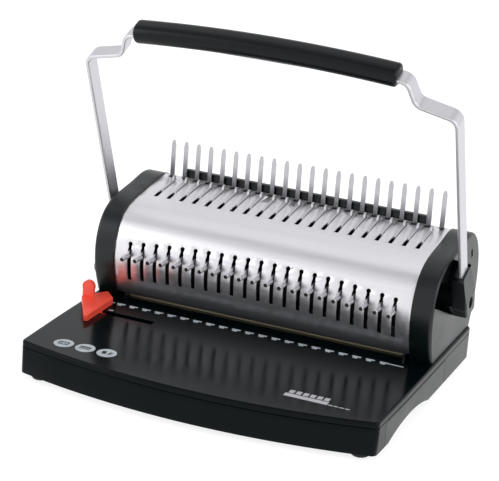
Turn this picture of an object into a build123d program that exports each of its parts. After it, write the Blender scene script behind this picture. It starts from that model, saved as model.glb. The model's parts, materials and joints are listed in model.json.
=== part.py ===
"""Comb binding machine: desk-top punch with a U-shaped handle and a row of comb tines.

Units are millimetres, +Z is up and -Y is the front. Every piece is drawn with y = 0 at the row of
comb tines, then moved so that the origin is the centre of the machine's footprint on the table.
"""

import math
import os

from build123d import *

# ---- driving dimensions -------------------------------------------------------------------
PITCH = 14.2875  # 9/16 inch, the standard spacing of plastic comb holes
HOLES = 21
ORIGIN_SHIFT = 123.0  # from the tine row to the centre of the footprint

# base
BASE_HALF = 185.2
BASE_REAR = 28.0
BASE_TAPER_Y = -180.0
BASE_CORNER = (184.0, -259.0)
BASE_FRONT = -284.0
BASE_BOTTOM = 5.5
BASE_SPLIT = 32.5
BASE_TOP = 39.0
BASE_WALL = 2.6
TOP_PLATE = 3.0

# head
COVER_HALF = 160.0
COVER_SHEET = 1.2
CAP_OUTER = 182.5
CAP_WALL = 2.5
POCKET_FLOOR = 164.0
FRAME_INNER = 151.0
FRAME_SHEET = 2.5

# handle
PIVOT_Y = -37.0
PIVOT_Z = 88.0
LEAN = 23.0
BAR_WIDTH = 18.0
BAR_THICK = 4.0
ARM_X = 191.0
ARM_W = 227.5  # the arms end here, measured along the arm from the pivot
SHOULDER = (151.0, 237.3)  # inner end of the sloping shoulder
GRIP_W = 262.5
STEP_X = 143.5
GRIP_HALF = 134.0
GRIP_BOW = 6.0
BEND_RADIUS = 11.0
ARM_FOOT = 12.0
SHAFT_RADIUS = 6.0
CRANK_RADIUS = 12.0
CRANK_ANGLE = 17.5

# punch
PIN_Y = -80.0
PIN_TIP_Z = 47.4
DIE_TOP = 41.0
THROAT_TOP = 46.4
GUIDE_TOP = 56.0
PUNCH_BAR_Z = (70.0, 103.0)
PUNCH_BAR_Y = (-88.0, -72.0)
STAGGER = 5.0  # the middle pins sit this much higher than the end pins

# comb
TINE_TOP = 186.0
TINE_WIDTH = 4.8

slot_xs = [(i - (HOLES - 1) / 2) * PITCH for i in range(HOLES)]
tine_xs = [(i - HOLES / 2) * PITCH for i in range(HOLES + 1)]


def arch(x):
    """Height added by the arched pattern of pins, selectors and front slots: 1 in the middle, 0 at the ends."""
    return 1.0 - (x / slot_xs[-1]) ** 2


def block(x, y, z):
    """Box given by its (low, high) pairs."""
    size = [high - low for low, high in (x, y, z)]
    middle = [(high + low) / 2 for low, high in (x, y, z)]
    return Pos(*middle) * Box(*size)


def rod_x(radius, x, y, z):
    """Cylinder along X between the two ends in x."""
    return Pos((x[0] + x[1]) / 2, y, z) * Rot(0, 90, 0) * Cylinder(radius, x[1] - x[0])


def rod_y(radius, x, y, z):
    """Cylinder along Y between the two ends in y."""
    return Pos(x, (y[0] + y[1]) / 2, z) * Rot(90, 0, 0) * Cylinder(radius, y[1] - y[0])


def rod_z(radius, x, y, z):
    """Cylinder along Z between the two ends in z."""
    return Pos(x, y, (z[0] + z[1]) / 2) * Cylinder(radius, z[1] - z[0])


def side_face(points, closed=True):
    """Face in the YZ plane through (y, z) points."""
    return make_face(Polyline(*[(0, y, z) for y, z in points], close=closed))


def slab(face, x):
    """Solid from a YZ face between the two ends in x."""
    return Pos(x[0], 0, 0) * extrude(face, x[1] - x[0], dir=(1, 0, 0))


def union(pieces):
    """One shape from many pieces that may be apart."""
    return Part() + pieces


def mirrored(shape):
    """The same shape on both ends of the machine."""
    return union([shape, mirror(shape, Plane.YZ)])


def save(shape, name):
    """Moves a piece into the common frame and writes it."""
    shape = Pos(0, ORIGIN_SHIFT, 0) * shape
    shape.label = name
    export_step(shape, f"parts/{name}.step")


def inset_line(line, inset):
    """Points of an open line in the YZ plane, each moved sideways along the line's normal."""
    moved = []
    for i, (y, z) in enumerate(line):
        before = line[max(i - 1, 0)]
        after = line[min(i + 1, len(line) - 1)]
        dy = after[0] - before[0]
        dz = after[1] - before[1]
        length = math.hypot(dy, dz)
        moved.append((y - inset * dz / length, z + inset * dy / length))
    return moved


def cover_points(inset):
    """Points of the head's curved front, moved inwards by inset."""
    line = [
        (2.5, 146.5), (-28, 142.9), (-58, 139.0), (-80, 134.6), (-95.5, 126.4), (-105.8, 113.0),
        (-110.9, 96.5), (-111.0, 80.0), (-107.2, 62.5), (-100.0, 45.5),
    ]
    return inset_line(line, inset)


def cover_face(inset, reach):
    """Closed YZ face between the curved front and a plane behind it at y = reach."""
    points = [(0, y, z) for y, z in cover_points(inset)]
    front = Spline(*points)
    back = Polyline(points[-1], (0, reach, points[-1][2]), (0, reach, points[0][2]), points[0])
    return make_face(Curve() + [front, back])


# ---- base ---------------------------------------------------------------------------------
def base_plan(inset):
    """Footprint of the base: straight sides that taper a little to a bowed front edge."""
    corner_x, corner_y = BASE_CORNER
    sides = Polyline(
        (-corner_x, corner_y), (-BASE_HALF, BASE_TAPER_Y), (-BASE_HALF, BASE_REAR),
        (BASE_HALF, BASE_REAR), (BASE_HALF, BASE_TAPER_Y), (corner_x, corner_y),
    )
    front = ThreePointArc((corner_x, corner_y), (0, BASE_FRONT), (-corner_x, corner_y))
    plan = make_face(Curve() + [sides, front])
    plan = fillet(plan.vertices(), 7)
    return offset(plan, -inset) if inset else plan


def prism(plan, z):
    """Solid from a plan between two heights."""
    return Pos(0, 0, z[0]) * extrude(plan, z[1] - z[0])


DRAWER_Y = (-235.0, -60.0)
DRAWER_TOP = 30.5
GUIDE_SLOT_X = (-170.0, -95.0)
GUIDE_SLOT_Y = (-153.0, -144.0)

base_wall = prism(base_plan(0), (BASE_BOTTOM, BASE_SPLIT)) - prism(
    base_plan(BASE_WALL), (BASE_BOTTOM, BASE_SPLIT)
)
drawer_hole = block((150, 200), (DRAWER_Y[0] - 0.5, DRAWER_Y[1] + 0.5), (0, DRAWER_TOP + 0.5))
base_lower = base_wall - drawer_hole
save(base_lower, "base_lower")

base_top = prism(base_plan(0), (BASE_SPLIT, BASE_TOP))
base_top = fillet(base_top.edges().group_by(Axis.Z)[-1], 2.2)
base_top = chamfer(base_top.edges().group_by(Axis.Z)[0], 0.8)
base_top -= prism(base_plan(BASE_WALL), (BASE_SPLIT, BASE_TOP - TOP_PLATE))
base_top -= block((-148, 148), (-86, -74), (30, 50))
base_top -= block(GUIDE_SLOT_X, GUIDE_SLOT_Y, (30, 50))
save(base_top, "base_top")

bottom_cover = prism(base_plan(BASE_WALL + 0.2), (BASE_BOTTOM, 7.5))
bottom_cover -= block((167, 200), (-227, -105), (0, 10))
foot_spots = [(-166, -249), (166, -249), (-166, 10), (166, 10)]
save(bottom_cover, "bottom_cover")

feet = []
for foot_x, foot_y in foot_spots:
    foot = rod_z(9, foot_x, foot_y, (0, BASE_BOTTOM))
    feet.append(chamfer(foot.edges().group_by(Axis.Z)[0], 1.2))
save(union(feet), "rubber_feet")

cover_screws = []
for screw_x, screw_y in ((-140, -240), (140, -240), (-140, 10), (140, 10), (0, -262), (0, 14)):
    cover_screws.append(rod_z(3.2, screw_x, screw_y, (BASE_BOTTOM - 1.4, BASE_BOTTOM)))
save(union(cover_screws), "bottom_screws")

# markings on the top plate: one flag-shaped dash for each hole and a long dash at each end of the row
MARK_Y = (-123.5, -120.3, -117.5)
MARK_Z = (BASE_TOP, BASE_TOP + 0.3)
marks = []
for x in slot_xs:
    marks.append(block((x - 7.0, x + 2.2), MARK_Y[1:], MARK_Z))
    marks.append(block((x - 5.5, x - 0.5), MARK_Y[:2], MARK_Z))
marks.append(block((slot_xs[-1] + 2.2, 160.5), (-120.3, -118.3), MARK_Z))
marks.append(block((-160.5, slot_xs[0] - 9.5), (-120.3, -118.3), MARK_Z))
marks.append(block((-148.5, -143.5), (-141.5, -139.0), MARK_Z))
save(union(marks), "edge_marks")

icon_discs = [rod_z(9.9, x, -244.5, (BASE_TOP, BASE_TOP + 0.4)) for x in (-145.0, -121.8, -98.6)]
save(union(icon_discs), "icon_discs")

name_bar = [block((85, 128.5), (-246.0, -239.5), (BASE_TOP, BASE_TOP + 0.5))]
name_bar.extend(block((x, x + 5.2), (-237.6, -230.5), (BASE_TOP, BASE_TOP + 0.4)) for x in range(87, 124, 7))
save(union(name_bar), "name_bar")

# ---- chip drawer --------------------------------------------------------------------------
drawer_front = base_wall & block((150, 200), DRAWER_Y, (BASE_BOTTOM + 0.4, DRAWER_TOP))
ARCH_RISE = 9.0
ARCH_HALF = 60.0
arch_radius = (ARCH_HALF**2 + ARCH_RISE**2) / (2 * ARCH_RISE)
drawer_front -= rod_x(arch_radius, (150, 200), -166, BASE_BOTTOM + ARCH_RISE - arch_radius)
drawer_body = block((-150, 166), (-231, -64), (8.2, 29.5))
drawer_body -= block((-148, 164), (-229, -66), (10.2, 40))
drawer_neck = block((166, 184), (-231, -64), (21, 24)) & prism(base_plan(BASE_WALL), (0, 60))
save(union([drawer_front, drawer_body, drawer_neck]), "chip_drawer")

# ---- head cover ---------------------------------------------------------------------------
head_cover = slab(cover_face(0, 10), (-COVER_HALF, COVER_HALF))
head_cover -= slab(cover_face(COVER_SHEET, 30), (-COVER_HALF - 1, COVER_HALF + 1))
head_cover -= block((-200, 200), (2.5, 40), (40, 150))
head_cover -= block((-200, 200), (-98, 20), (40, 100))
for x in slot_xs:
    slot_low = 62.5 + 7.5 * arch(x)
    slot_high = 102.3 + 8.0 * arch(x)
    head_cover -= block((x - 2.1, x + 2.1), (-125, -90), (slot_low, slot_high - 5))
    head_cover -= block((x - 1.6, x + 1.6), (-125, -90), (slot_high - 6, slot_high))
    head_cover -= rod_y(2.3, x, (-125, -90), slot_high)
    head_cover -= block((x - 1.6, x + 1.6), (-56, -6), (120, 170))
    head_cover -= block((x - 2.1, x + 2.1), (-56, -43), (120, 170))
for x in tine_xs:
    head_cover -= rod_z(3.6, x, -1.5, (120, 170))
save(head_cover, "head_cover")

# ---- end caps -----------------------------------------------------------------------------
CAP_REAR = [
    (27.5, BASE_TOP), (33.5, 53.5), (38.2, 68.5), (40.3, 86), (38.5, 108), (28, 131), (11, 144.5), (-8, 147.4),
]
CAP_FOOT = (-98.5, BASE_TOP)
POCKET = [
    (-125, 108), (-44, 74), (-25, 68), (-8, 80), (-5, 100), (9, 111), (-1, 115), (-60, 137), (-60, 160), (-125, 160),
]


def cap_face(inset):
    """D-shaped side outline of an end cap, a little proud of the sheet cover."""
    line = inset_line(CAP_REAR + cover_points(-1.6)[1:] + [CAP_FOOT], inset)
    rim = Spline(*[(0, y, z) for y, z in line])
    return make_face(Curve() + [rim, Line(rim @ 1, rim @ 0)])


DIAL_Y = -89.0
DIAL_Z = 66.0


def end_cap(side):
    """Moulded cap on one end of the head; side is 1 on the right and -1 on the left."""

    def span(inner, outer):
        return tuple(sorted((side * inner, side * outer)))

    cap = slab(cap_face(0), span(COVER_HALF, CAP_OUTER))
    outer_face = cap.edges().group_by(Axis.X)[-1 if side > 0 else 0]
    cap = fillet(outer_face.sort_by(Axis.Z)[-1], 3.5)
    hollow = slab(cap_face(CAP_WALL), span(COVER_HALF - 1, CAP_OUTER - CAP_WALL))
    hollow -= slab(offset(side_face(POCKET), CAP_WALL), span(POCKET_FLOOR - CAP_WALL, CAP_OUTER + 5))
    cap -= hollow
    cap -= slab(side_face(POCKET), span(POCKET_FLOOR, CAP_OUTER + 5)) & slab(
        cap_face(2.2), span(POCKET_FLOOR - 1, CAP_OUTER + 6)
    )
    cap -= rod_x(SHAFT_RADIUS + 0.5, span(150, 200), PIVOT_Y, PIVOT_Z)
    for slot_y, slot_z in ((6.5, 124), (28, 71)):
        slot = block(span(CAP_OUTER - 1.8, 190), (-2.5, 2.5), (-4.5, 4.5))
        cap -= Pos(0, slot_y, slot_z) * Rot(20, 0, 0) * slot
    if side < 0:
        cap -= rod_x(3.4, span(150, 200), DIAL_Y, DIAL_Z)
    return cap


save(end_cap(1), "end_cap_right")
save(end_cap(-1), "end_cap_left")

dial = rod_x(9.0, (-188.6, -182.9), DIAL_Y, DIAL_Z)
for i in range(20):
    turn = math.radians(i * 18)
    dial -= rod_x(0.8, (-190, -180), DIAL_Y + 9.1 * math.cos(turn), DIAL_Z + 9.1 * math.sin(turn))
dial += rod_x(3.3, (-183, -168), DIAL_Y, DIAL_Z)
dial += block((-189.2, -188.6), (DIAL_Y - 1.0, DIAL_Y + 1.0), (DIAL_Z, DIAL_Z + 7.5))
save(dial, "margin_dial")

# ---- rear cover ---------------------------------------------------------------------------
REAR_LINE = [(12, 134), (23, 127), (33.5, 108), (36.8, 86), (34.5, 67), (30, 53), (24.5, BASE_TOP)]
rear_line = Spline(*[(0, y, z) for y, z in REAR_LINE])
rear_inner = Spline(*[(0, y, z) for y, z in reversed(inset_line(REAR_LINE, -2.0))])
rear_face = make_face(
    Curve() + [rear_line, Line(rear_line @ 1, rear_inner @ 0), rear_inner, Line(rear_inner @ 1, rear_line @ 0)]
)
rear_cover = slab(rear_face, (-COVER_HALF, COVER_HALF))
for x in range(-120, 121, 20):
    rear_cover -= block((x - 7, x + 7), (25, 45), (62, 65))
save(rear_cover, "rear_cover")

# ---- steel frame inside the head ----------------------------------------------------------
frame_points = [
    (-94, BASE_TOP), (-100, 62), (-104, 84), (-102, 102), (-92, 120), (-76, 128), (-10, 137), (18, 120), (28, 84),
    (19, BASE_TOP),
]
side_frame = slab(side_face(frame_points), (FRAME_INNER, FRAME_INNER + FRAME_SHEET))
side_frame -= rod_x(SHAFT_RADIUS + 2.0, (140, 160), PIVOT_Y, PIVOT_Z)
side_frame -= block((140, 160), (-57.5, -15.5), (116.7, 120.3))
save(side_frame, "side_frame_right")
save(mirror(side_frame, Plane.YZ), "side_frame_left")

bush = rod_x(SHAFT_RADIUS + 2.0, (FRAME_INNER - 1, FRAME_INNER + FRAME_SHEET + 1), PIVOT_Y, PIVOT_Z)
bush += rod_x(SHAFT_RADIUS + 4.0, (FRAME_INNER + FRAME_SHEET, FRAME_INNER + FRAME_SHEET + 2), PIVOT_Y, PIVOT_Z)
bush -= rod_x(SHAFT_RADIUS + 0.05, (140, 160), PIVOT_Y, PIVOT_Z)
save(mirrored(bush), "shaft_bushes")

SPRING_ROD_Z = 124.0
spring_rod = rod_x(3.0, (-FRAME_INNER, FRAME_INNER), PIN_Y, SPRING_ROD_Z)
save(spring_rod, "spring_rod")

# ---- comb rack ----------------------------------------------------------------------------
comb = [block((-FRAME_INNER, FRAME_INNER), (-0.8, 3.5), (127, 139))]
for x in tine_xs:
    half = TINE_WIDTH / 2
    outline = Polyline(
        (x - half, 0, 139), (x - half, 0, TINE_TOP - 6), (x - half + 0.7, 0, TINE_TOP - 1.4), (x, 0, TINE_TOP),
        (x + half - 0.7, 0, TINE_TOP - 1.4), (x + half, 0, TINE_TOP - 6), (x + half, 0, 139), close=True,
    )
    comb.append(Pos(0, -0.8, 0) * extrude(make_face(outline), 1.6, dir=(0, 1, 0)))
save(union(comb), "comb_rack")

comb_strip = block((tine_xs[1], tine_xs[-2]), (3.5, 9.5), (129, 154.4))
save(fillet(comb_strip.edges().filter_by(Axis.X).group_by(Axis.Z)[-1], 1.0), "comb_strip")

# ---- comb opening hooks -------------------------------------------------------------------
hook_profile = side_face([
    (-40, 119), (-40, 141.6), (-38.5, 142.6), (-14, 145.8), (-13, 149.4), (-10, 150.6), (-8.6, 149.0), (-8.6, 144.0),
    (-20, 130), (-20, 119),
])
hooks = [block((-150.6, 150.6), (-43, -18), (117, 120))]
hooks.extend(slab(hook_profile, (x - 1.1, x + 1.1)) for x in slot_xs)
hooks.extend(block(side, (-42, -31), (117, 120)) for side in ((-155.5, -150), (150, 155.5)))
save(union(hooks), "hook_plate")

# ---- punch --------------------------------------------------------------------------------
die_plate = block((-150, 150), (-91, -60), (BASE_TOP, DIE_TOP))
guide_block = block((-150, 150), (-92, -62), (THROAT_TOP, GUIDE_TOP))
for x in slot_xs:
    die_plate -= block((x - 4.1, x + 4.1), (PIN_Y - 1.6, PIN_Y + 1.6), (30, 45))
    guide_block -= block((x - 4.1, x + 4.1), (PIN_Y - 1.6, PIN_Y + 1.6), (40, 60))
save(die_plate, "die_plate")
save(guide_block, "pin_guide")
paper_stop = block((-150, 150), (-72, -62), (DIE_TOP, THROAT_TOP))
save(paper_stop, "paper_stop")


def selector_z(x):
    """Height of the knob on the selector that belongs to the pin at x."""
    return 91.2 + STAGGER * arch(x)


pins = []
for x in slot_xs:
    top = selector_z(x) - 3.8
    tip = PIN_TIP_Z + 0.6 * STAGGER * arch(x)
    pins.append(block((x - 4, x + 4), (PIN_Y - 1.5, PIN_Y + 1.5), (tip, top)))
pins = union(pins)
save(pins, "punch_pins")

punch_bar = block((-149, 149), PUNCH_BAR_Y, PUNCH_BAR_Z) - pins
for x in slot_xs:
    punch_bar -= block((x - 1.1, x + 1.1), (-95, -60), (selector_z(x) - 3.3, selector_z(x) + 5.1))
crank_z = PIVOT_Z + CRANK_RADIUS * math.sin(math.radians(CRANK_ANGLE))
fork = block((137, 143), (-72, PIVOT_Y - 7.5), (crank_z - 10, crank_z + 10))
fork -= block((130, 150), (PIVOT_Y - 18, PIVOT_Y - 5), (crank_z - 5, crank_z + 5))
for side in (fork, mirror(fork, Plane.YZ)):
    punch_bar += side
save(punch_bar, "punch_bar")

selector_names = [f"selector_{i + 1:02d}" for i in range(HOLES)]
for name, x in zip(selector_names, slot_xs):
    z = selector_z(x)
    stem = block((x - 0.8, x + 0.8), (-114.6, -73), (z - 3, z + 4.8))
    knob = rod_y(2.3, x, (-128.7, -113.6), z)
    save(stem + chamfer(knob.edges().group_by(Axis.Y)[0], 0.5), name)


def return_spring(x):
    """Extension spring from the punch bar up to the spring rod."""
    low = PUNCH_BAR_Z[1] + 0.4
    high = SPRING_ROD_Z - 3.4
    coil = Helix(pitch=2.4, height=high - low - 1.0, radius=4.2, center=(x, PIN_Y, low + 0.5))
    wire = Plane(origin=coil @ 0, z_dir=coil % 0) * Circle(0.6)
    return sweep(wire, path=coil)


save(return_spring(-7.5 * PITCH), "return_spring_left")
save(return_spring(7.5 * PITCH), "return_spring_right")

# ---- handle -------------------------------------------------------------------------------
to_rest = Pos(0, PIVOT_Y, PIVOT_Z) * Rot(LEAN, 0, 0)
BAR_LINE = [(ARM_X, -ARM_FOOT), (ARM_X, ARM_W), SHOULDER, (STEP_X, GRIP_W), (0, GRIP_W)]


def bar_side(shift):
    """One long side of the bar in the plane of the handle, shift outside its middle line."""
    walls = []
    for (x0, w0), (x1, w1) in zip(BAR_LINE, BAR_LINE[1:]):
        length = math.hypot(x1 - x0, w1 - w0)
        nx, nw = (w1 - w0) / length * shift, (x0 - x1) / length * shift
        walls.append(((x0 + nx, w0 + nw), (x1 + nx, w1 + nw)))
    half = [walls[0][0]]
    for (p, q), (r, t) in zip(walls, walls[1:]):
        cross = (q[0] - p[0]) * (t[1] - r[1]) - (q[1] - p[1]) * (t[0] - r[0])
        along = ((r[0] - p[0]) * (t[1] - r[1]) - (r[1] - p[1]) * (t[0] - r[0])) / cross
        half.append((p[0] + along * (q[0] - p[0]), p[1] + along * (q[1] - p[1])))
    points = [(-x, 0, w) for x, w in half] + [(x, 0, w) for x, w in reversed(half)]
    outward = BEND_RADIUS + shift
    inward = BEND_RADIUS - shift
    return FilletPolyline(*points, radius=(outward, inward, outward, outward, inward, outward))


outer_side = bar_side(BAR_THICK / 2)
inner_side = bar_side(-BAR_THICK / 2)
ends = [Line(outer_side @ 0, inner_side @ 0), Line(outer_side @ 1, inner_side @ 1)]
bar_face = make_face(Curve() + [outer_side, inner_side, *ends])
handle_bar = Pos(0, -BAR_WIDTH / 2, 0) * extrude(bar_face, BAR_WIDTH, dir=(0, 1, 0))
handle_bar = fillet(handle_bar.edges().group_by(Axis.Y)[0], 1.4)
handle_bar = fillet(handle_bar.edges().group_by(Axis.Y)[-1], 1.4)
shaft_hole = rod_x(SHAFT_RADIUS, (-200, 200), 0, 0)

grip_radius = (GRIP_HALF**2 + GRIP_BOW**2) / (2 * GRIP_BOW)
grip_w = GRIP_W + 1.2
grip_path = ThreePointArc((-GRIP_HALF, 0, grip_w), (0, 0, grip_w + GRIP_BOW), (GRIP_HALF, 0, grip_w))
grip_section = Plane(origin=grip_path @ 0, x_dir=(0, 1, 0), z_dir=grip_path % 0) * RectangleRounded(24.5, 20.5, 9.8)
handle_grip = sweep(grip_section, path=grip_path)
handle_grip = fillet(handle_grip.edges().group_by(Axis.X)[0], 3.5)
handle_grip = fillet(handle_grip.edges().group_by(Axis.X)[-1], 3.5)
handle_grip -= handle_bar
save(to_rest * handle_grip, "handle_grip")

boot_face = side_face([(-11.5, 37.5), (11.5, 37.5), (15, 0), (11, -17), (-12, -12), (-14.5, 0)])
boot_face = fillet(boot_face.vertices(), 4)
boot = slab(boot_face, (CAP_OUTER + 0.6, 198.4))
boot = chamfer(boot.edges().group_by(Axis.X)[-1], 1.5)
flare = make_face(Polyline((198.5, -40, 4), (195.2, -40, 38), (205, -40, 38), (205, -40, 4), close=True))
boot -= extrude(flare, 80, dir=(0, 1, 0))
boot += rod_x(14.5, (POCKET_FLOOR + 0.6, CAP_OUTER + 1.0), 0, 0)
boot_right = boot - handle_bar - shaft_hole
save(to_rest * boot_right, "hub_boot_right")
save(to_rest * mirror(boot_right, Plane.YZ), "hub_boot_left")
save(to_rest * (handle_bar - shaft_hole), "handle_bar")

main_shaft = rod_x(SHAFT_RADIUS, (-193, 193), PIVOT_Y, PIVOT_Z)
save(main_shaft, "main_shaft")

crank_hub = rod_x(10, (129, 135), 0, 0)
crank_eye = rod_x(6, (129, 135), -CRANK_RADIUS, 0)
crank_web = block((129, 135), (-CRANK_RADIUS, 0), (-6, 6))
crank_pin = rod_x(4, (135, 145), -CRANK_RADIUS, 0)
crank = crank_hub + crank_eye + crank_web + crank_pin - rod_x(SHAFT_RADIUS, (120, 150), 0, 0)
crank = Pos(0, PIVOT_Y, PIVOT_Z) * Rot(-CRANK_ANGLE, 0, 0) * crank
save(mirrored(crank), "cranks")

# ---- paper edge guide ---------------------------------------------------------------------
guide_plan = make_face(Polyline(
    (-152.5, -182, 0), (-152.5, -124, 0), (-166, -109, 0), (-182.5, -136, 0), (-156, -182, 0), close=True
))
guide_plan = fillet(guide_plan.vertices(), 2.0)
guide = prism(guide_plan, (BASE_TOP + 0.5, 46.0))
tab_plan = Pos(-176, -133) * RectangleRounded(13, 4.5, 1.5)
tab = prism(tab_plan, (BASE_TOP + 4, 57.0)) + rod_y(6.5, -176, (-135.25, -130.75), 57.0)
guide += tab
guide += block((-164, -154), (-152.7, -144.3), (34, 41))
guide += block((-167, -151), (-158, -139), (33.8, 35.8))
save(guide, "edge_guide")
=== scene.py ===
"""Looks of the comb binding machine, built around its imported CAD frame. Metres, +Z up, -Y the front."""

import json
import math

import bmesh
import bpy
from mathutils import Matrix, Vector


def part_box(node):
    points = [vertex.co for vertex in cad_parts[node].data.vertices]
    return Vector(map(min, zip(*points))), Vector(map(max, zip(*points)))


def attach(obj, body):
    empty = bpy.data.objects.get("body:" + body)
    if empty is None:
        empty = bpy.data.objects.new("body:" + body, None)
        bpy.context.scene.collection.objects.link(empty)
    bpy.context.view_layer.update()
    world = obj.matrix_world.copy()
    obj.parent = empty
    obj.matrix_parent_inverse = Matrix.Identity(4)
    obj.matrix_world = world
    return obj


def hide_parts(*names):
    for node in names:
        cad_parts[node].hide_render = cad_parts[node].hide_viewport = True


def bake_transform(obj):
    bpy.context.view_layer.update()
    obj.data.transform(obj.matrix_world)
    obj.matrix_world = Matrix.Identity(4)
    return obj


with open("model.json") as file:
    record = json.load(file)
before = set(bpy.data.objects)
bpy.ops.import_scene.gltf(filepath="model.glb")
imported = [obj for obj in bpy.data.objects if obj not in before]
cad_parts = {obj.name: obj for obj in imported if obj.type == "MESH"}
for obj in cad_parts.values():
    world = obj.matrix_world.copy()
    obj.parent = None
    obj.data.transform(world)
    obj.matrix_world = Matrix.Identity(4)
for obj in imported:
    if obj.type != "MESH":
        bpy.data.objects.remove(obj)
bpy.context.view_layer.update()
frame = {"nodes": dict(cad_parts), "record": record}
nodes = frame["nodes"]
record_slots = {part["node"]: part["material_slot"] for part in frame["record"]["subparts"]}

MM = 0.001
TINE_ROW_Y = 0.123
PITCH = 0.0142875
HOLES = 21
TABLE_TOP_Z = 0.039


# ---- materials ----------------------------------------------------------------------------------
class Shader:
    """A Principled material whose colour, roughness and bump can be driven by procedural textures."""

    def __init__(self, name, color, roughness, metallic=0.0, **sockets):
        self.material = bpy.data.materials.new(name)
        self.material.use_nodes = True
        self.tree = self.material.node_tree
        self.bsdf = self.tree.nodes["Principled BSDF"]
        self.bsdf.inputs["Base Color"].default_value = (*color, 1)
        self.bsdf.inputs["Roughness"].default_value = roughness
        self.bsdf.inputs["Metallic"].default_value = metallic
        for socket, value in sockets.items():
            self.bsdf.inputs[socket.replace("_", " ")].default_value = value
        self.color = color
        self.roughness = roughness
        self.coordinates = self.tree.nodes.new("ShaderNodeTexCoord").outputs["Object"]

    def link(self, source, target):
        self.tree.links.new(source, target)

    def stretched(self, scale):
        """Object coordinates in metres, scaled along each axis."""
        node = self.tree.nodes.new("ShaderNodeMapping")
        node.inputs["Scale"].default_value = scale
        self.link(self.coordinates, node.inputs["Vector"])
        return node.outputs["Vector"]

    def noise(self, scale, detail, roughness=0.6, stretch=(1, 1, 1)):
        node = self.tree.nodes.new("ShaderNodeTexNoise")
        node.inputs["Scale"].default_value = scale
        node.inputs["Detail"].default_value = detail
        node.inputs["Roughness"].default_value = roughness
        self.link(self.stretched(stretch), node.inputs["Vector"])
        return node.outputs["Fac"]

    def ramp(self, value, low, high, start=0.35, end=0.65):
        """Colour running from low to high as value goes from start to end."""
        node = self.tree.nodes.new("ShaderNodeValToRGB")
        node.color_ramp.elements[0].position = start
        node.color_ramp.elements[1].position = end
        node.color_ramp.elements[0].color = (*low, 1)
        node.color_ramp.elements[1].color = (*high, 1)
        self.link(value, node.inputs["Fac"])
        return node.outputs["Color"]

    def spread(self, value, low, high, start=0.3, end=0.7):
        """Number running from low to high as value goes from start to end."""
        node = self.tree.nodes.new("ShaderNodeMapRange")
        node.inputs["From Min"].default_value = start
        node.inputs["From Max"].default_value = end
        node.inputs["To Min"].default_value = low
        node.inputs["To Max"].default_value = high
        self.link(value, node.inputs["Value"])
        return node.outputs["Result"]

    def bump(self, height, distance, strength):
        node = self.tree.nodes.new("ShaderNodeBump")
        node.inputs["Distance"].default_value = distance
        node.inputs["Strength"].default_value = strength
        self.link(height, node.inputs["Height"])
        self.link(node.outputs["Normal"], self.bsdf.inputs["Normal"])

    def drift(self, value, amount, **stops):
        """The base colour, from a little darker to a little lighter as value goes up."""
        low = tuple(c * (1 - amount) for c in self.color)
        high = tuple(min(1.0, c * (1 + amount)) for c in self.color)
        return self.ramp(value, low, high, **stops)

    def mottle(self, amount, scale):
        """Base colour that drifts a little darker and lighter over the surface."""
        self.link(self.drift(self.noise(scale, 3.0), amount), self.bsdf.inputs["Base Color"])

    def smudge(self, amount, scale):
        """Roughness that varies like handled, wiped surfaces."""
        rough = self.spread(self.noise(scale, 5.0), self.roughness - amount, self.roughness + amount)
        self.link(rough, self.bsdf.inputs["Roughness"])

    def shaded_foot(self, color, low, high, amount):
        """Painted shade: the colour, dimmed to amount below z = low and back to full above z = high."""
        split = self.tree.nodes.new("ShaderNodeSeparateXYZ")
        self.link(self.coordinates, split.inputs["Vector"])
        dim = self.tree.nodes.new("ShaderNodeVectorMath")
        dim.operation = "SCALE"
        self.link(color, dim.inputs[0])
        self.link(self.spread(split.outputs["Z"], amount, 1.0, low, high), dim.inputs["Scale"])
        return dim.outputs["Vector"]


def moulded_plastic(name, color, roughness, grain=0.00003, grain_scale=2600, **sockets):
    """Injection-moulded plastic with a fine spark-eroded grain and wiped smudges."""
    shader = Shader(name, color, roughness, **sockets)
    shader.mottle(0.12, 40)
    shader.smudge(0.05, 18)
    shader.bump(shader.noise(grain_scale, 2.0), grain, 0.5)
    return shader.material


def brushed_metal(name, color, roughness, along, brush=0.000012, shade=None):
    """Metal brushed or rolled along one axis: long thin streaks in colour, gloss and height."""
    shader = Shader(name, color, roughness, metallic=1.0)
    stretch = tuple(0.012 if axis == along else 1.0 for axis in "xyz")
    streaks = shader.noise(1500, 6.0, 0.75, stretch)
    tint = shader.drift(streaks, 0.06, start=0.3, end=0.7)
    if shade:
        tint = shader.shaded_foot(tint, *shade)
    shader.link(tint, shader.bsdf.inputs["Base Color"])
    rough = shader.spread(streaks, roughness - 0.06, roughness + 0.08)
    shader.link(rough, shader.bsdf.inputs["Roughness"])
    shader.bump(streaks, brush, 0.6)
    return shader.material


TINE_SHADE = (0.150, 0.170, 0.42)  # painted shade: the tines are dimmest where they stand in the cover

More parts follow.
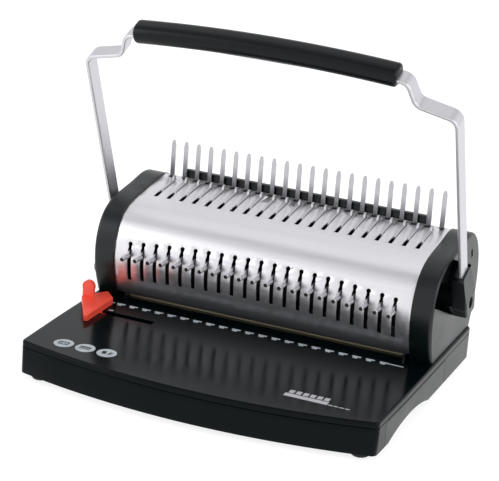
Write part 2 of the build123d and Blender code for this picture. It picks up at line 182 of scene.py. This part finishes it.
MATERIALS = {
    "black_gloss": moulded_plastic(
        "black_gloss", (0.0006, 0.0026, 0.0034), 0.17, grain=0.000004, Specular_IOR_Level=0.1
    ),
    "black_housing": moulded_plastic(
        "black_housing", (0.0008, 0.0032, 0.0040), 0.34, grain=0.00001, Specular_IOR_Level=0.42
    ),
    "grey_plastic": moulded_plastic("grey_plastic", (0.09, 0.09, 0.095), 0.5),
    # dark marks: print on the icons, and the painted reflection on the selector ends
    "rubber": moulded_plastic("rubber", (0.006, 0.007, 0.007), 0.75, grain=0.00008, grain_scale=1500),
    "grip": moulded_plastic("grip", (0.0010, 0.0020, 0.0030), 0.3, Specular_IOR_Level=0.22),
    "red_plastic": moulded_plastic("red_plastic", (0.95, 0.082, 0.045), 0.42),
    # pale print for the dashes, also used for the painted highlight of the stud on the left edge of the base
    "white_print": moulded_plastic("white_print", (0.42, 0.47, 0.50), 0.5),
    "aluminium_sheet": brushed_metal("aluminium_sheet", (0.80, 0.79, 0.82), 0.36, "x", brush=0.000006),
    "steel": brushed_metal("steel", (0.36, 0.37, 0.39), 0.32, "x"),
    "plated_handle": brushed_metal("plated_handle", (0.64, 0.64, 0.67), 0.42, "z"),
    # painted shade: near-black metal for the punch bar and pins, so the slots in the cover look dark
    "painted_slot_shade": brushed_metal("painted_slot_shade", (0.03, 0.032, 0.034), 0.5, "x"),
    "tines": brushed_metal("tines", (0.52, 0.52, 0.55), 0.3, "z", shade=TINE_SHADE),
    "zinc": brushed_metal("zinc", (0.42, 0.38, 0.27), 0.4, "x"),
}

# ---- CAD parts ----------------------------------------------------------------------------------
WELD_DISTANCE = 0.000002
EDGE_RADIUS = 0.0004
EDGE_SEGMENTS = 2
EDGE_ANGLE = math.radians(28)
# the punch bar and punch pins take the near-black painted shade that darkens the slots in front of them
OWN_MATERIAL = {"comb_rack": "tines", "punch_bar": "painted_slot_shade", "punch_pins": "painted_slot_shade"}


def dress(piece, material):
    """Gives a CAD part its material and softly rounded edges."""
    piece.data.materials.clear()
    piece.data.materials.append(MATERIALS[material])
    weld = piece.modifiers.new("weld", "WELD")
    weld.merge_threshold = WELD_DISTANCE
    rounding = piece.modifiers.new("edges", "BEVEL")
    rounding.width = EDGE_RADIUS
    rounding.segments = EDGE_SEGMENTS
    rounding.limit_method = "ANGLE"
    rounding.angle_limit = EDGE_ANGLE
    rounding.harden_normals = True
    rounding.use_clamp_overlap = True


for name, piece in nodes.items():
    dress(piece, OWN_MATERIAL.get(name, record_slots[name]))

for side in ("left", "right"):
    cad_spring = nodes[f"return_spring_{side}"]
    low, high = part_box(f"return_spring_{side}")
    spring = bpy.data.objects.new(f"spring_wire_{side}", cad_spring.data.copy())
    bpy.context.scene.collection.objects.link(spring)
    spring.matrix_world = cad_spring.matrix_world.copy()
    x, y = (low[0] + high[0]) / 2, (low[1] + high[1]) / 2
    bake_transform(spring)
    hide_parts(f"return_spring_{side}")

# ---- small pieces that the CAD leaves out -------------------------------------------------------
BUTTON_SIDES = 28
BUTTON_TURN = {"X": Matrix.Rotation(math.pi / 2, 4, "Y"), "Y": Matrix.Rotation(math.pi / 2, 4, "X")}
PRINT_THICKNESS = 0.00012


def add_piece(name, builder, material, body):
    mesh = bpy.data.meshes.new(name)
    builder.to_mesh(mesh)
    builder.free()
    mesh.materials.append(MATERIALS[material])
    piece = bpy.data.objects.new(name, mesh)
    bpy.context.scene.collection.objects.link(piece)
    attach(piece, body)


def button(name, centre, axis, radius, length, material, body):
    """Short round stud with bevelled rims, along X or Y."""
    builder = bmesh.new()
    bmesh.ops.create_cone(
        builder, cap_ends=True, segments=BUTTON_SIDES, radius1=radius, radius2=radius, depth=length
    )
    rims = [edge for edge in builder.edges if abs(edge.verts[0].co.z - edge.verts[1].co.z) < 1e-7]
    bmesh.ops.bevel(builder, geom=rims, offset=radius * 0.14, segments=2, affect="EDGES")
    place = Matrix.Translation(centre) @ BUTTON_TURN[axis]
    bmesh.ops.transform(builder, matrix=place, verts=builder.verts)
    add_piece(name, builder, material, body)


def printed_bars(name, centre, bars, material):
    """Flat strokes on the base; bars are (x, y, width, depth, turn) about centre, in mm and degrees."""
    builder = bmesh.new()
    for x, y, width, depth, turn in bars:
        stroke = bmesh.ops.create_cube(builder, size=1.0)["verts"]
        place = (
            Matrix.Translation(Vector(centre) + Vector((x * MM, y * MM, 0)))
            @ Matrix.Rotation(math.radians(turn), 4, "Z")
            @ Matrix.Diagonal((width * MM, depth * MM, PRINT_THICKNESS, 1))
        )
        bmesh.ops.transform(builder, matrix=place, verts=stroke)
    add_piece(name, builder, material, "base")


# black discs on the selector ends, which follow the arched pattern of the punch pins: a painted reflection of
# the dark tray on the pin ends
SELECTOR_TIP_Y = TINE_ROW_Y - 0.1288
SELECTOR_TIP_Z = 0.0912
SELECTOR_ARCH = 0.005
SELECTOR_TIP_RADIUS = 0.0020
SELECTOR_TIP_LENGTH = 0.0007

for i in range(HOLES):
    offset = i - (HOLES - 1) / 2
    rise = SELECTOR_ARCH * (1 - (2 * offset / (HOLES - 1)) ** 2)
    tip = (offset * PITCH, SELECTOR_TIP_Y, SELECTOR_TIP_Z + rise)
    number = f"{i + 1:02d}"
    button(
        f"selector_tip_{number}", tip, "Y", SELECTOR_TIP_RADIUS, SELECTOR_TIP_LENGTH, "rubber",
        f"selector_{number}",
    )

# simple drawings on the three round symbols: a sheet, a comb and a book
ICON_Y = TINE_ROW_Y - 0.2445
ICON_Z = TABLE_TOP_Z + 0.00046

sheet_bars = [(0, 3, 10, 1.3, 0), (0, -3, 10, 1.3, 0)]
sheet_bars += [(side * 4.6, 0, 1.2, 6, 0) for side in (-1, 1)]
sheet_bars += [(x, 0, 1.6, 1.8, 45) for x in (-2, 1.5)]
comb_bars = [(0, 2.6, 11.5, 1.6, 0)]
comb_bars += [(x, -0.9, 1.2, 5.4, 0) for x in (-4.6, -2.3, 0, 2.3, 4.6)]
book_bars = [(-2.6, 0, 4.2, 6.6, 12), (2.9, 0, 1.2, 6.8, -12)]
book_bars += [(4.6, y, 3.0, 1.0, -12) for y in (-2.4, 0, 2.4)]
for name, x, bars in (("sheet", -145.0, sheet_bars), ("comb", -121.8, comb_bars), ("book", -98.6, book_bars)):
    printed_bars(f"icon_{name}", (x * MM, ICON_Y, ICON_Z), bars, "rubber")

# row of dashes beside the name plate, and a light stud on the left edge of the base, which is a painted
# highlight
CAPTION = (0.1405, ICON_Y, TABLE_TOP_Z + 0.00006)
STUD = (-0.1831, TINE_ROW_Y - 0.0950, 0.0432)

printed_bars("caption_line", CAPTION, [(x, 0, 4.4, 1.5, 0) for x in (-9, -3.4, 2.2, 7.8)], "white_print")
button("highlight_stud", STUD, "X", 0.0017, 0.0016, "white_print", "base")

# ---- stage --------------------------------------------------------------------------------------
FLOOR_HALF = 9.0


def make_floor():
    """Plain pale floor that glows a little, so that it stays near white around the machine."""
    mesh = bpy.data.meshes.new("floor")
    builder = bmesh.new()
    bmesh.ops.create_grid(builder, x_segments=8, y_segments=8, size=FLOOR_HALF)
    builder.to_mesh(mesh)
    builder.free()
    floor = bpy.data.objects.new("floor", mesh)
    bpy.context.scene.collection.objects.link(floor)
    shader = Shader(
        "floor_paper", (0.35, 0.35, 0.353), 0.8, Emission_Color=(1, 1, 1, 1), Emission_Strength=0.8
    )
    shader.mottle(0.01, 3)
    mesh.materials.append(shader.material)


make_floor()


def area_light(name, place, target, size, power):
    light = bpy.data.lights.new(name, "AREA")
    light.shape = "RECTANGLE"
    light.size, light.size_y = size
    light.energy = power
    lamp = bpy.data.objects.new(name, light)
    bpy.context.scene.collection.objects.link(lamp)
    lamp.location = place
    lamp.rotation_euler = (Vector(target) - Vector(place)).to_track_quat("-Z", "Y").to_euler()


area_light("key_top", (-0.2, 0.3, 1.6), (0, 0, 0.1), (1.8, 1.4), 3.5)
area_light("front_left", (-1.5, -1.3, 1.0), (0, 0, 0.12), (1.0, 1.2), 7)
area_light("right_side", (1.7, -0.2, 0.9), (0, 0, 0.1), (0.9, 1.2), 9)

# brightness of the surroundings by height: 0 and below is the horizon, 1 is straight up
SKY_STOPS = ((0.0, 0.95), (0.5, 0.95), (0.66, 0.86), (0.78, 0.56), (0.90, 0.46), (1.0, 0.55))


def make_world():
    """White studio, darker high up, like the gap between soft boxes."""
    world = bpy.data.worlds.new("studio")
    world.use_nodes = True
    tree = world.node_tree
    direction = tree.nodes.new("ShaderNodeTexCoord").outputs["Generated"]
    split = tree.nodes.new("ShaderNodeSeparateXYZ")
    tree.links.new(direction, split.inputs["Vector"])
    ramp = tree.nodes.new("ShaderNodeValToRGB")
    for _ in SKY_STOPS[2:]:
        ramp.color_ramp.elements.new(0.5)
    for element, (position, level) in zip(ramp.color_ramp.elements, SKY_STOPS):
        element.position = position
        element.color = (level, level, level * 1.015, 1)
    tree.links.new(split.outputs["Z"], ramp.inputs["Fac"])
    tree.links.new(ramp.outputs["Color"], tree.nodes["Background"].inputs["Color"])
    tree.nodes["Background"].inputs["Strength"].default_value = 1.0
    bpy.context.scene.world = world


make_world()
bpy.context.scene.view_settings.view_transform = "Standard"

# ---- camera -------------------------------------------------------------------------------------
CAMERA_PLACE = Vector((0.6637, -1.70736, 0.76363))
AZIMUTH, ELEVATION, ROLL = (math.radians(angle) for angle in (21.44, 18.83, 4.36))
LENS = 142.35
SENSOR = 36.0
SHIFT = (-0.0030, -0.0019)


def make_camera():
    back = Vector((
        math.sin(AZIMUTH) * math.cos(ELEVATION),
        -math.cos(AZIMUTH) * math.cos(ELEVATION),
        math.sin(ELEVATION),
    ))
    level = Vector((math.cos(AZIMUTH), math.sin(AZIMUTH), 0))
    upright = back.cross(level)
    right = math.cos(ROLL) * level + math.sin(ROLL) * upright
    up = back.cross(right)
    data = bpy.data.cameras.new("camera")
    data.lens = LENS
    data.sensor_width = SENSOR
    data.shift_x, data.shift_y = SHIFT
    camera = bpy.data.objects.new("camera", data)
    bpy.context.scene.collection.objects.link(camera)
    turn = Matrix((right, up, back)).transposed()
    camera.matrix_world = Matrix.Translation(CAMERA_PLACE) @ turn.to_4x4()
    bpy.context.scene.camera = camera


make_camera()
